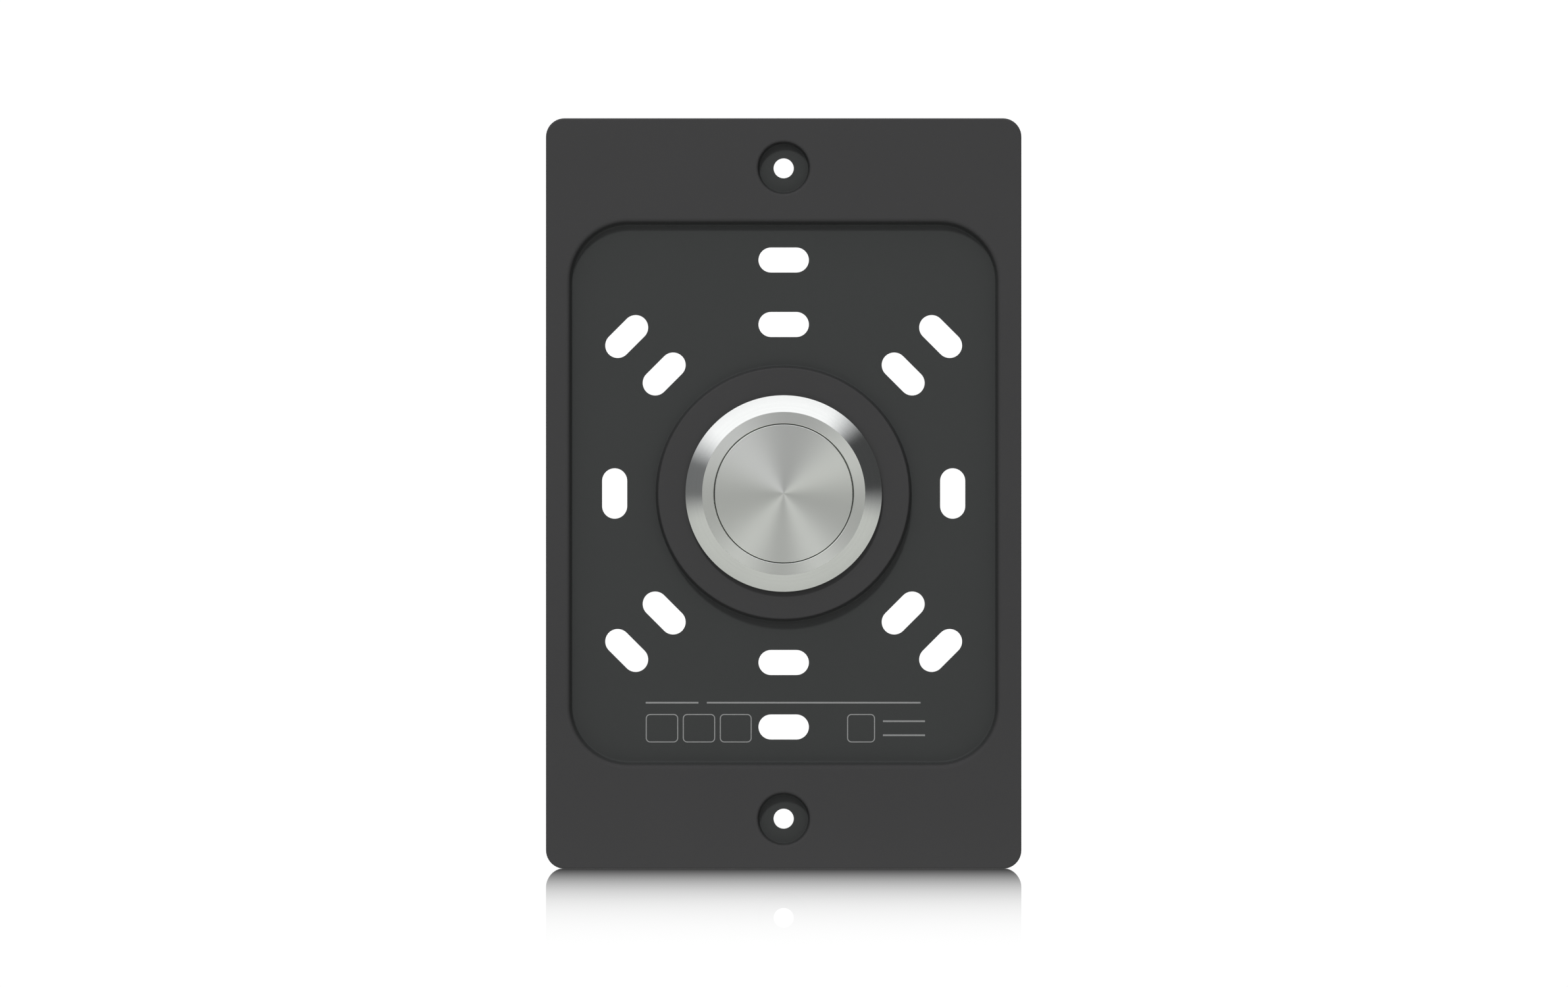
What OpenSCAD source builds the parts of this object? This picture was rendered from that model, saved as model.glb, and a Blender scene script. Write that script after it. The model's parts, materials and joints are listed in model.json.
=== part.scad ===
// Wall plate with a large stainless steel push button and its contact block.
// The plate stands upright in the XZ plane and faces -Y. The wall plane is Y = 0,
// and the origin is where the button's axis crosses it.
// Inside the modules x is to the right, y is up and z is height in front of the wall.

/* [Plate] */
// Width of the plate
plate_w = 84.7; // [82:0.1:90]
// Height of the plate
plate_h = 133.7; // [131:0.1:140]
// Thickness of the plate's rim
plate_t = 5; // [4.8:0.1:6]
// Radius of the plate's corners
plate_r = 3.3; // [2:0.1:5]
// Thickness of the sunken panel
web_t = 2.5; // [2.2:0.1:2.8]

/* [Sunken panel] */
// Width of the sunken panel, halfway up its wall
panel_w = 75.9; // [74:0.1:76]
// Height of the sunken panel, halfway up its wall
panel_h = 96.3; // [92:0.1:98]
// Radius of the sunken panel's corners, halfway up its wall
panel_r = 10.3; // [6:0.1:12]
// Radius of the boss around the button, halfway up its wall
boss_r = 22.6; // [22.4:0.1:23.5]

/* [Screw holes] */
// Distance between the two counterbored holes
hole_spacing = 116; // [114:0.5:118]
// Diameter of the two counterbored holes
hole_d = 3.6; // [3:0.1:4.5]
// Length of a screw slot
slot_l = 9; // [7:0.1:9.5]
// Width of a screw slot
slot_w = 4.5; // [3.5:0.1:4.6]
// Distance between the outer pair of slots
outer_spacing = 83.3; // [82:0.1:84]
// Diameter of the circle of inner slots
inner_circle = 60.3; // [60:0.1:61]
// Diameter of the circle of outer diagonal slots
outer_circle = 79.2; // [78:0.1:80]

/* [Push button] */
// Diameter of the bezel's head
head_d = 35.1; // [34.8:0.1:36]
// Height of the bezel's head over the boss
head_h = 4; // [3.7:0.1:5]
// Diameter of the bezel's flat ring
ring_d = 29; // [28:0.1:30]
// Diameter of the push cap
cap_d = 24.55; // [24.2:0.05:24.6]
// Length of the barrel behind the head
barrel_l = 20; // [19.5:0.1:21]
// Travel of the push cap
travel = 2.5; // [1.8:0.1:2.5]

/* [Hidden] */
$fn = 96;

// Colours
CASTING = "#404041";
STEEL = "#b5b8b2";
RUBBER = "#1c1c1e";
DARK_MOULDING = "#242527";
PALE_MOULDING = "#dcdad2";
BRASS = "#c2a35a";
SILVER = "#d9dbdc";
ZINC = "#aeb2b6";
SPRING = "#8f9296";

// Gaps
cut = 1;                   // how far a cutter runs past a face
slide_gap = 0.1;           // between a moving piece and its guide
stop_gap = 0.3;            // where a moving piece meets its stop
rest_gap = 0.05;           // at a spring's ends and at a closed contact
fit_gap = 0.02;            // round a piece that is pressed or formed into place

// Plate
edge_round = 0.35;         // rounding of the plate's front edge
panel_round = [0.35, 0.8]; // rounding at the foot and the mouth of the panel's wall
panel_lean = 0.3;          // how far the panel's wall leans outwards
boss_round = [0.25, 0.3];  // rounding at the foot and the top of the boss
boss_lean = 0.35;          // how far the boss's wall leans inwards
arc_steps = 5;             // flats in a small rounding
rear_wall = 2.4;           // wall round the hollows in the plate's back
rear_r = 1.5;              // corners of those hollows
rib_t = 1.6;
rib_pitch = 14;
ribs_each_side = 2;
hole_boss_r = 6.6;         // boss behind each counterbored hole
seat_t = 2.7;              // thickness under the screw head
seat_r = 4.4;              // counterbore at its foot
mouth_r = 4.6;             // counterbore at its mouth
seat_round = [0.2, 0.5];   // rounding at the foot and the mouth of the counterbore
nut_pocket_r = 21.2;
barrel_hole_r = 15.15;

// Bezel and barrel
thread_r = 14.97;
thread_root = 14.37;
pitch = 1;
flank = 0.3;               // a thread's flank and crest, as shares of its pitch
crest = 0.15;
thread_relief = [0.6, 0.8]; // plain lengths before and after the thread
thread_top = plate_t - thread_relief[0];
barrel_end = plate_t - barrel_l;
barrel_bevel = 0.3;
thread_turns = floor((thread_top - barrel_end - thread_relief[1]) / pitch);
head_top = plate_t + head_h;
lip_h = 1.1;               // straight side of the head under its chamfer
edge_bevel = 0.12;         // broken edges of the ring and the cap
lip_bevel = 0.06;          // broken edge between the chamfer and the lip
cap_gap = 0.165;           // visible gap round the cap
bore_r = cap_d / 2 + cap_gap;
shoulder_z = 1;            // step that stops the cap's snap ring
inner_r = 13.2;            // bore behind that step
seal_groove = [15.9, 17, 0.9];
circlip_groove_r = 13.75;
circlip_t = 1;

// Cap, plunger and guide
guide_r = bore_r - slide_gap;
cap_disc = 2;
disc_end = head_top - cap_disc;
cap_step = [1.6, 1.75];    // the cap widens to its guide between these depths
cap_end = -0.6;
cap_wall = 2.2;
hub_r = 3.2;
hub_z = 3;
spigot_r = 2;
spigot_lap = 0.5;
socket_end = disc_end - 0.8; // end of the plunger's socket
stem_r = 2.5;
seal_r = 0.69;
seal_proud = 0.03;         // how far the O-ring stands out of the guide
seal_z = head_top - 3.1;   // middle of the cap's O-ring
seal_groove_w = 1.6;
seal_groove_r = guide_r - 2 * seal_r + fit_gap;
snap_groove = [0.05, 0.9];
snap_groove_r = guide_r - 0.76;
snap_step = 0.4;           // the cap's end stands this far out of the snap groove
snap_t = 0.8;
snap_gap = 0.2;            // between the snap ring and the barrel
snap_mouth = [1.4, 2.5];
bush_front = cap_end - travel - stop_gap;
bush_t = 2.5;
bush_end = bush_front - bush_t;
bush_hub_z = hub_z - travel - stop_gap;
bush_hub_r = 4.4;
coil_r = 7.2;
coil_wire_r = 0.5;
coil_turns = 6;
coil_sides = 8;            // flats round a spring's wire
coil_steps = 20;           // flats in a turn of a spring
coil_flatten = 0.25;       // how much flatter a spring's last turns lie

// Nut and washer
washer_t = 0.8;
washer_r = 19.6;
washer_teeth = 18;
washer_notch = [2, 1.1];
washer_gap = 0.2;
nut_t = 4;
nut_flats = 36;
nut_bevel = 1.1;

// Contact housing
housing_r = 13.1;
neck_r = 11.9;
housing_l = [6.6, 7.5];    // wide and narrow lengths of the housing
neck_z = bush_end - housing_l[0];
housing_end = neck_z - housing_l[1];
cavity = [8.2, 6.9];
cavity_front = bush_end - 2.3;
fixing_y = 9.4;
fixing_r = 0.95;
fixing_gap = 0.2;
tap_gap = 0.03;            // round a thread that is drawn as a plain rod
circlip_gap = [0.15, 0.03];
circlip_mouth = [3, 2.5];
circlip_hole_r = 0.5;
circlip_hole_turn = 20;

// Carrier
carrier_top = bush_end - stop_gap;
carrier_stem_r = 2.9;
carrier = [1.9, 2.6];
carrier_l = 6.4;
carrier_wall = 0.8;
carrier_shoulder = cavity_front - 0.4;
carrier_end = carrier_shoulder - carrier_l;
window_y = 1.5;
window_top = carrier_shoulder - carrier_wall;
window_end = carrier_end + carrier_wall;

// Bridge and fixed contacts
bridge = [7.2, 1.35];
bridge_t = 0.6;
bridge_top = window_top - 2.6;
bridge_end = bridge_top - bridge_t;
bridge_travel = travel * 0.6;
tip_x = 6;
tip_r = 1.1;
tip_h = 0.5;
rivet_r = 0.6;
strip_t = 0.7;
strip_w = 2.4;
strip_x = 6.3;
strip_y = 1.3;             // how far a strip runs past the bridge's middle
leg_y = 6.7;               // outer face of a strip's leg
nc_tip_z = bridge_top + tip_h + rest_gap;
no_tip_z = bridge_end - tip_h - bridge_travel - rest_gap;
bridge_coil_r = 1;
bridge_wire_r = 0.16;
bridge_turns = 4;

// Terminal base
plug = [8.1, 5.9];
plug_t = 1.5;
base_t = 2;
base_r = 13.6;
base_end = housing_end - base_t;
barrier_t = 1.6;
barrier_h = 5;
barrier_y = 7.2;
rim_h = 2;
rim_t = 1;
wire_mouth = [3, 2.2];
leg_gap = 0.05;
pocket_r = 2.5;
pocket_t = 1.2;            // floor left under the spring pocket
carrier_coil_r = 1.9;
carrier_wire_r = 0.2;

// Terminals
screw_y = 3.9;
pad = 5.4;
pad_t = 0.9;
clamp = 5.2;
clamp_t = 0.8;
screw_r = 1.5;
screw_hole_r = 1.6;
screw_head = [2.6, 1.9];
screw_end = housing_end + 1.1;
fixing_head = [1.8, 1.2];
fixing_l = 7.5;
fixing_spare = 0.5;        // how much shorter the screw is than its hole
head_crown = [0.7, 0.45];  // crown and recess of a screw head, as shares of its size
head_recess = [0.62, 0.13, 0.55];

// Turns the modules' frame upright: x stays, y becomes up and z faces the front.
module upright() {
    rotate([90, 0, 0]) children();
}

// A disc, or a tube if inner is over 0, between two heights.
module tube(outer, inner, z0, z1) {
    translate([0, 0, z0]) difference() {
        cylinder(r = outer, h = z1 - z0);
        if (inner > 0)
            translate([0, 0, -cut]) cylinder(r = inner, h = z1 - z0 + 2 * cut);
    }
}

// A block centred on x and y, between two heights.
module block(half, z0, z1) {
    translate([-half[0], -half[1], z0]) cube([2 * half[0], 2 * half[1], z1 - z0]);
}

// Puts its children at both ends of a line through the origin.
module pair(x, y) {
    for (s = [-1, 1]) translate([s * x, s * y, 0]) children();
}

// Points of a small rounding, from one angle to another.
function arc(x, y, r, from, to) = [
    for (i = [0:arc_steps])
        let (a = from + (to - from) * i / arc_steps) [x + r * cos(a), y + r * sin(a)]
];

// Half section of a hollow from its foot at z0 to its mouth at z1, both rounded.
function hollow_points(foot, mouth, rounding, z0, z1) = concat(
    [[0, z0]],
    arc(foot - rounding[0], z0 + rounding[0], rounding[0], -90, 0),
    arc(mouth + rounding[1], z1 - rounding[1], rounding[1], 180, 90),
    [[mouth + rounding[1], z1 + cut], [0, z1 + cut]]
);

// Half section of a boss from its foot at z0 to its top at z1, both rounded.
function boss_points(foot, top, rounding, z0, z1) = concat(
    [[0, z0 - cut], [foot + rounding[0], z0 - cut]],
    arc(foot + rounding[0], z0 + rounding[0], rounding[0], 270, 180),
    arc(top - rounding[1], z1 - rounding[1], rounding[1], 0, 90),
    [[0, z1]]
);

// Crests and roots of a thread, as rings, down from a height.
function thread_points(top, turns, crest_r, root_r) =
    let (shape = [[0, root_r], [flank, crest_r], [flank + crest, crest_r], [2 * flank + crest, root_r]])
    [for (i = [0:turns - 1], p = shape) [p[1], top - (i + p[0]) * pitch]];

// A rounded rectangle's solid. The children's x runs outwards from the centres of the
// corners, and their y is height. The middle is filled between z0 and z1.
module round_rect_sweep(w, h, r, z0, z1) {
    half = [w / 2 - r, h / 2 - r];
    block(half, z0, z1);
    for (side = [0:3]) {
        odd = side % 2;
        turn = side * 90;
        corner = [half[odd], half[1 - odd]];
        rotate([0, 0, turn]) translate([corner[0], corner[1], 0]) rotate_extrude(angle = 90) children();
        rotate([0, 0, turn]) translate([corner[0], corner[1], 0]) rotate([90, 0, 0])
            linear_extrude(2 * corner[1]) children();
    }
}

// A slot with round ends that runs along x.
module slot_shape() {
    square([slot_l - slot_w, slot_w], center = true);
    pair((slot_l - slot_w) / 2, 0) circle(d = slot_w);
}

// A coil spring between two heights, its wire swept along a helix whose ends lie flatter.
module coil(mean_r, wire_r, z0, z1, turns) {
    sides = coil_sides;
    steps = turns * coil_steps;
    span = z1 - z0 - 2 * wire_r;
    points = [for (i = [0:steps], k = [0:sides - 1])
        let (
            t = i / steps,
            a = 360 * turns * t,
            b = 360 * k / sides,
            z = z0 + wire_r + span * (t - coil_flatten * sin(360 * t) / (2 * PI)),
            r = mean_r + wire_r * cos(b)
        )
        [r * cos(a), r * sin(a), z + wire_r * sin(b)]];
    walls = [for (i = [0:steps - 1], k = [0:sides - 1])
        let (n = (k + 1) % sides)
        [i * sides + k, i * sides + n, (i + 1) * sides + n, (i + 1) * sides + k]];
    start = [for (k = [sides - 1:-1:0]) k];
    end = [for (k = [0:sides - 1]) steps * sides + k];
    polyhedron(points = points, faces = concat(walls, [start], [end]), convexity = 10);
}

// The plate's outer block with a rounded front edge.
module slab() {
    edge = arc(plate_r - edge_round, plate_t - edge_round, edge_round, 0, 90);
    round_rect_sweep(plate_w, plate_h, plate_r, 0, plate_t)
        polygon(concat([[0, 0], [plate_r, 0]], edge, [[0, plate_t]]));
}

// The space over the sunken panel, with the boss left standing.
module panel_space() {
    foot = panel_r - panel_lean / 2;
    mouth = panel_r + panel_lean / 2;
    difference() {
        round_rect_sweep(panel_w, panel_h, panel_r, web_t, plate_t + cut)
            polygon(hollow_points(foot, mouth, panel_round, web_t, plate_t));
        rotate_extrude()
            polygon(boss_points(boss_r + boss_lean / 2, boss_r - boss_lean / 2, boss_round, web_t, plate_t));
        tube(boss_r - boss_lean / 2 - boss_round[1], 0, plate_t, plate_t + 2 * cut);
    }
}

// One of the ribbed hollows in the plate's back.
module rear_hollow() {
    low = panel_h / 2 + rear_wall;
    high = plate_h / 2 - rear_wall;
    width = plate_w - 2 * rear_wall;
    difference() {
        translate([0, (low + high) / 2, 0])
            round_rect_sweep(width, high - low, rear_r, -cut, web_t)
                translate([0, -cut]) square([rear_r, web_t + cut]);
        translate([0, hole_spacing / 2, 0]) tube(hole_boss_r, 0, -2 * cut, plate_t);
        for (s = [-1, 1], i = [1:ribs_each_side])
            translate([s * i * rib_pitch, (low + high) / 2, 0])
                block([rib_t / 2, high - low], -2 * cut, plate_t);
    }
}

module screw_hole() {
    tube(hole_d / 2, 0, -cut, plate_t);
    rotate_extrude() polygon(hollow_points(seat_r, mouth_r, seat_round, seat_t, plate_t));
}

module slots() {
    translate([0, 0, -cut]) linear_extrude(plate_t) {
        for (i = [0:7]) rotate(i * 45) translate([0, inner_circle / 2]) slot_shape();
        for (i = [0:3]) rotate(45 + i * 90) translate([0, outer_circle / 2]) slot_shape();
        pair(0, outer_spacing / 2) slot_shape();
    }
}

module mounting_plate() {
    color(CASTING) upright() difference() {
        slab();
        panel_space();
        slots();
        tube(barrel_hole_r, 0, -cut, plate_t + cut);
        tube(nut_pocket_r, 0, -cut, web_t);
        for (turn = [0, 180]) rotate([0, 0, turn]) {
            rear_hollow();
            translate([0, hole_spacing / 2, 0]) screw_hole();
        }
    }
}

module bezel_barrel() {
    head_r = head_d / 2;
    thread_end = thread_top - thread_turns * pitch;
    profile = concat(
        [
            [bore_r, head_top - edge_bevel],
            [bore_r + edge_bevel, head_top],
            [ring_d / 2, head_top],
            [head_r - lip_bevel, plate_t + lip_h + lip_bevel],
            [head_r, plate_t + lip_h],
            [head_r, plate_t + edge_bevel],
            [head_r - edge_bevel, plate_t],
            [seal_groove[1], plate_t],
            [seal_groove[1], plate_t + seal_groove[2]],
            [seal_groove[0], plate_t + seal_groove[2]],
            [seal_groove[0], plate_t],
            [thread_root, plate_t]
        ],
        thread_points(thread_top, thread_turns, thread_r, thread_root),
        [
            [thread_root, thread_end],
            [thread_root, barrel_end + barrel_bevel],
            [thread_root - barrel_bevel, barrel_end],
            [inner_r, barrel_end],
            [inner_r, neck_z - circlip_t],
            [circlip_groove_r, neck_z - circlip_t],
            [circlip_groove_r, neck_z],
            [inner_r, neck_z],
            [inner_r, shoulder_z],
            [bore_r, shoulder_z]
        ]
    );
    color(STEEL) upright() rotate_extrude() polygon(profile);
}

module panel_seal() {
    color(RUBBER) upright() tube(
        seal_groove[1] - rest_gap, seal_groove[0] + rest_gap,
        plate_t, plate_t + seal_groove[2] - rest_gap
    );
}

module button_cap() {
    cap_r = cap_d / 2;
    inner = guide_r - cap_wall;
    profile = [
        [0, head_top],
        [cap_r - edge_bevel, head_top],
        [cap_r, head_top - edge_bevel],
        [cap_r, head_top - cap_step[0]],
        [guide_r, head_top - cap_step[1]],
        [guide_r, seal_z + seal_groove_w / 2],
        [seal_groove_r, seal_z + seal_groove_w / 2],
        [seal_groove_r, seal_z - seal_groove_w / 2],
        [guide_r, seal_z - seal_groove_w / 2],
        [guide_r, snap_groove[1]],
        [snap_groove_r, snap_groove[1]],
        [snap_groove_r, snap_groove[0]],
        [snap_groove_r + snap_step, snap_groove[0]],
        [snap_groove_r + snap_step, cap_end],
        [inner, cap_end],
        [inner, disc_end],
        [hub_r, disc_end],
        [hub_r, hub_z],
        [spigot_r, hub_z],
        [spigot_r, socket_end],
        [0, socket_end]
    ];
    color(STEEL) upright() rotate_extrude() polygon(profile);
}

module cap_seal() {
    color(RUBBER) upright()
        translate([0, 0, seal_z]) rotate_extrude()
            translate([guide_r - seal_r + seal_proud, 0]) circle(r = seal_r);
}

module retaining_ring() {
    front = snap_groove[1] - fit_gap;
    color(SPRING) upright() difference() {
        tube(inner_r - snap_gap, snap_groove_r + fit_gap, front - snap_t, front);
        translate([0, -inner_r, 0]) block(snap_mouth, -cut, 2 * cut);
    }
}

module plunger() {
    color(PALE_MOULDING) upright() {
        tube(spigot_r - fit_gap, 0, hub_z - spigot_lap, socket_end - 2 * slide_gap);
        tube(stem_r, 0, carrier_top, hub_z);
    }
}

module return_spring() {
    color(SPRING) upright()
        coil(coil_r, coil_wire_r, bush_front + rest_gap, disc_end - rest_gap, coil_turns);
}

module guide_bush() {
    color(PALE_MOULDING) upright() difference() {
        union() {
            tube(inner_r - rest_gap, 0, bush_end, bush_front);
            tube(bush_hub_r, 0, bush_end, bush_hub_z);
        }
        tube(stem_r + slide_gap, 0, bush_end - cut, bush_hub_z + cut);
    }
}

module lock_washer() {
    color(ZINC) upright() difference() {
        tube(washer_r, thread_r + washer_gap, web_t - washer_t, web_t);
        for (i = [0:washer_teeth - 1]) rotate([0, 0, (i + 0.5) * 360 / washer_teeth])
            translate([washer_r, 0, 0]) block(washer_notch, web_t - washer_t - cut, web_t + cut);
    }
}

module mounting_nut() {
    top = web_t - washer_t;
    corner_r = nut_flats / 2 / cos(30);
    chamfer_r = corner_r - 2 * nut_bevel;
    color(ZINC) upright() difference() {
        intersection() {
            translate([0, 0, top - nut_t]) cylinder(r = corner_r, h = nut_t, $fn = 6);
            rotate_extrude() polygon([
                [0, top - nut_t],
                [chamfer_r, top - nut_t],
                [corner_r, top - nut_t + nut_bevel],
                [corner_r, top - nut_bevel],
                [chamfer_r, top],
                [0, top]
            ]);
        }
        rotate_extrude() polygon(concat(
            [[0, thread_top]],
            thread_points(thread_top, thread_turns, thread_r + rest_gap, thread_root + rest_gap),
            [[0, thread_top - thread_turns * pitch]]
        ));
    }
}

module contact_housing() {
    color(DARK_MOULDING) upright() difference() {
        union() {
            tube(housing_r, 0, neck_z, bush_end);
            tube(neck_r, 0, housing_end, neck_z);
        }
        block(cavity, housing_end - cut, cavity_front);
        tube(carrier_stem_r + slide_gap, 0, cavity_front - cut, bush_end + cut);
        pair(0, fixing_y) tube(fixing_r + tap_gap, 0, housing_end - cut, housing_end + fixing_l);
    }
}

module housing_circlip() {
    inner = neck_r + circlip_gap[0];
    outer = circlip_groove_r - circlip_gap[1];
    back = neck_z - circlip_t;
    color(SPRING) upright() difference() {
        tube(outer, inner, back + circlip_gap[1], neck_z);
        translate([0, -inner_r, 0]) block(circlip_mouth, back - cut, neck_z + cut);
        for (s = [-1, 1]) rotate([0, 0, s * circlip_hole_turn])
            translate([0, -(inner + outer) / 2, 0]) tube(circlip_hole_r, 0, back - cut, neck_z + cut);
    }
}

module contact_carrier() {
    color(PALE_MOULDING) upright() difference() {
        union() {
            tube(carrier_stem_r, 0, carrier_shoulder, carrier_top);
            block(carrier, carrier_end, carrier_shoulder);
        }
        block([carrier[0] + cut, window_y], window_end, window_top);
    }
}

module carrier_spring() {
    foot = base_end + pocket_t + rest_gap;
    color(SPRING) upright() coil(carrier_coil_r, carrier_wire_r, foot, carrier_end - rest_gap, coil_turns);
}

module contact_bridge() {
    color(BRASS) upright() difference() {
        block(bridge, bridge_end, bridge_top);
        pair(tip_x, 0) tube(rivet_r, 0, bridge_end - cut, bridge_top + cut);
    }
}

module bridge_tips() {
    color(SILVER) upright() pair(tip_x, 0) {
        tube(rivet_r - fit_gap / 2, 0, bridge_end - tip_h, bridge_top + tip_h);
        tube(tip_r, 0, bridge_top, bridge_top + tip_h);
        tube(tip_r, 0, bridge_end - tip_h, bridge_end);
    }
}

module bridge_springs() {
    color(SPRING) upright() {
        coil(bridge_coil_r, bridge_wire_r, bridge_top + rest_gap, window_top - rest_gap, bridge_turns);
        coil(bridge_coil_r, bridge_wire_r, window_end + rest_gap, bridge_end - rest_gap, bridge_turns);
    }
}

// One fixed contact: a strip over or under the bridge, a leg through the base and a
// tapped pad on the base's back. The tip's face is at tip_z.
module fixed_contact(strip_z) {
    half_w = strip_w / 2;
    translate([strip_x - half_w, -strip_y, strip_z]) cube([strip_w, leg_y + strip_y, strip_t]);
    translate([strip_x - half_w, leg_y - strip_t, base_end - pad_t])
        cube([strip_w, strip_t, strip_z - base_end + pad_t + strip_t]);
    difference() {
        translate([strip_x - pad / 2, leg_y - pad, base_end - pad_t]) cube([pad, pad, pad_t]);
        translate([strip_x, screw_y, 0]) tube(screw_r, 0, base_end - pad_t - cut, base_end + cut);
    }
}

// Puts its children on both sides of the plane x = 0.
module both_sides() {
    children();
    mirror([1, 0, 0]) children();
}

module nc_contacts() {
    color(BRASS) upright() both_sides() fixed_contact(nc_tip_z + tip_h);
}

module no_contacts() {
    color(BRASS) upright() both_sides() mirror([0, 1, 0]) fixed_contact(no_tip_z - tip_h - strip_t);
}

module fixed_tips() {
    color(SILVER) upright() pair(tip_x, 0) {
        tube(tip_r, 0, nc_tip_z, nc_tip_z + tip_h);
        tube(tip_r, 0, no_tip_z - tip_h, no_tip_z);
    }
}

// Puts its children at each of the four wire terminals.
module each_terminal() {
    for (sx = [-1, 1], sy = [-1, 1]) translate([sx * strip_x, sy * screw_y, 0]) children();
}

module terminal_base() {
    color(DARK_MOULDING) upright() difference() {
        union() {
            tube(base_r, 0, base_end, housing_end);
            block(plug, housing_end, housing_end + plug_t);
            tube(base_r, base_r - rim_t, base_end - rim_h, base_end);
            block([barrier_t / 2, barrier_y], base_end - barrier_h, base_end);
            block([base_r - rim_t / 2, barrier_t / 2], base_end - barrier_h, base_end);
        }
        tube(pocket_r, 0, base_end + pocket_t, housing_end + plug_t + cut);
        each_terminal() tube(screw_hole_r, 0, base_end - cut, housing_end + plug_t + cut);
        for (sx = [-1, 1], sy = [-1, 1]) {
            translate([sx * strip_x, sy * (leg_y - strip_t / 2), 0])
                block([strip_w / 2 + leg_gap, strip_t / 2 + leg_gap], base_end - cut, housing_end + cut);
            translate([sx * base_r, sy * screw_y, 0])
                block(wire_mouth, base_end - rim_h - cut, base_end);
        }
        pair(0, fixing_y) tube(fixing_r + fixing_gap, 0, base_end - cut, housing_end + cut);
    }
}

// A screw with a cross recess: its head is under head_z, its shank runs forwards.
module cross_screw(shank_r, head, head_z, end_z) {
    head_end = head_z - head[1];
    slot = head[0] * [head_recess[0], head_recess[1]];
    difference() {
        union() {
            tube(shank_r, 0, head_z - slide_gap, end_z);
            rotate_extrude() polygon([
                [0, head_end],
                [head[0] * head_crown[0], head_end],
                [head[0], head_end + head[1] * head_crown[1]],
                [head[0], head_z],
                [0, head_z]
            ]);
        }
        for (turn = [0, 90]) rotate([0, 0, turn])
            block(slot, head_end - cut, head_end + head[1] * head_recess[2]);
    }
}

module terminal_screws() {
    color(ZINC) upright() each_terminal()
        cross_screw(screw_r - fit_gap, screw_head, base_end - pad_t - clamp_t, screw_end);
}

module terminal_clamps() {
    half = clamp / 2;
    color(ZINC) upright() each_terminal() difference() {
        block([half, half], base_end - pad_t - clamp_t, base_end - pad_t);
        tube(screw_hole_r, 0, base_end - 3 * cut, base_end + cut);
    }
}

module housing_screws() {
    color(ZINC) upright() pair(0, fixing_y)
        cross_screw(fixing_r, fixing_head, base_end, housing_end + fixing_l - fixing_spare);
}

mounting_plate();
bezel_barrel();
panel_seal();
button_cap();
cap_seal();
retaining_ring();
plunger();
return_spring();
guide_bush();
lock_washer();
mounting_nut();
contact_housing();
housing_circlip();
contact_carrier();
carrier_spring();
contact_bridge();
bridge_tips();
bridge_springs();
nc_contacts();
no_contacts();
fixed_tips();
terminal_base();
terminal_screws();
terminal_clamps();
housing_screws();
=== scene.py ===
"""Looks of the wall-plate push button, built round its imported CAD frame.

Metres, +Z up. The plate stands in the XZ plane and faces -Y, and the button's axis is the Y axis.
"""

import json
import math

import bmesh
import bpy
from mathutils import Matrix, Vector


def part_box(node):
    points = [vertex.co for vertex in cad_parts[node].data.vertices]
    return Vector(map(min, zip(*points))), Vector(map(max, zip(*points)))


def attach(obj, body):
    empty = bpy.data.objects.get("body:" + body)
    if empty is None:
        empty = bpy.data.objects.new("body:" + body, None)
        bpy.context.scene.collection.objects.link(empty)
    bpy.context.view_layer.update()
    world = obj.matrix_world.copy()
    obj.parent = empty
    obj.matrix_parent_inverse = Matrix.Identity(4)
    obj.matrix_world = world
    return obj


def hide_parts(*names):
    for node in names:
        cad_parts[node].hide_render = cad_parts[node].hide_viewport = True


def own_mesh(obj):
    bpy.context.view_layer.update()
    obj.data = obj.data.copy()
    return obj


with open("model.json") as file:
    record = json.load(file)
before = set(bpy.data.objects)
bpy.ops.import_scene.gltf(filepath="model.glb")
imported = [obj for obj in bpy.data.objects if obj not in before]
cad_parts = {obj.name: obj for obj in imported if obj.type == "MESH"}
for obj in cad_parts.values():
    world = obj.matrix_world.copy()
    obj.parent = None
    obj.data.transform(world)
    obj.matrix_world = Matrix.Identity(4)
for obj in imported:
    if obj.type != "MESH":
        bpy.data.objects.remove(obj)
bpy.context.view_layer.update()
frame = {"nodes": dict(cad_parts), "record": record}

MM = 0.001
TINY = 0.001 * MM

# ---------------------------------------------------------------- places from the frame

plate_low, plate_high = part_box("mounting_plate")
bezel_low, bezel_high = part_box("bezel_barrel")
cap_low, cap_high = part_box("button_cap")
_, carrier_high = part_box("contact_carrier")
bridge_low, bridge_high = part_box("contact_bridge")
circlip_low, circlip_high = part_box("housing_circlip")

RIM_Y = plate_low.y                  # front of the rim and of the boss
HEAD_Y = bezel_low.y                 # front of the bezel
HEAD_R = bezel_high.x
BARREL_END_Y = bezel_high.y
CAP_Y = cap_low.y
CAP_BACK_Y = cap_high.y
FLOOR_Z = plate_low.z

# Sizes that no box gives, as in the part's design. The gap between the bore and the cap is a shade
# narrower, because the edges beside it are softer.
PANEL_Y = -2.5 * MM                  # floor of the sunken panel
PLATE_CORNER = 3.3 * MM
RING_R = 14.5 * MM
BORE_R = 12.43 * MM
SHOULDER_Y = -1.0 * MM
INNER_R = 13.2 * MM
CIRCLIP_GROOVE_R = 13.75 * MM
LIP = 1.1 * MM                       # straight side of the head
SEAL_GROOVE = (15.9 * MM, 17.0 * MM, 0.9 * MM)  # inner and outer radius, and depth
THREAD_CREST = 14.97 * MM
THREAD_ROOT = 14.37 * MM
THREAD_PITCH = 1.0 * MM
THREAD_START_Y = RIM_Y + 0.6 * MM
BARREL_BEVEL = 0.3 * MM
CAP_R = 12.295 * MM
GUIDE_R = 12.34 * MM
CAP_DISC = 2.0 * MM
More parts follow.
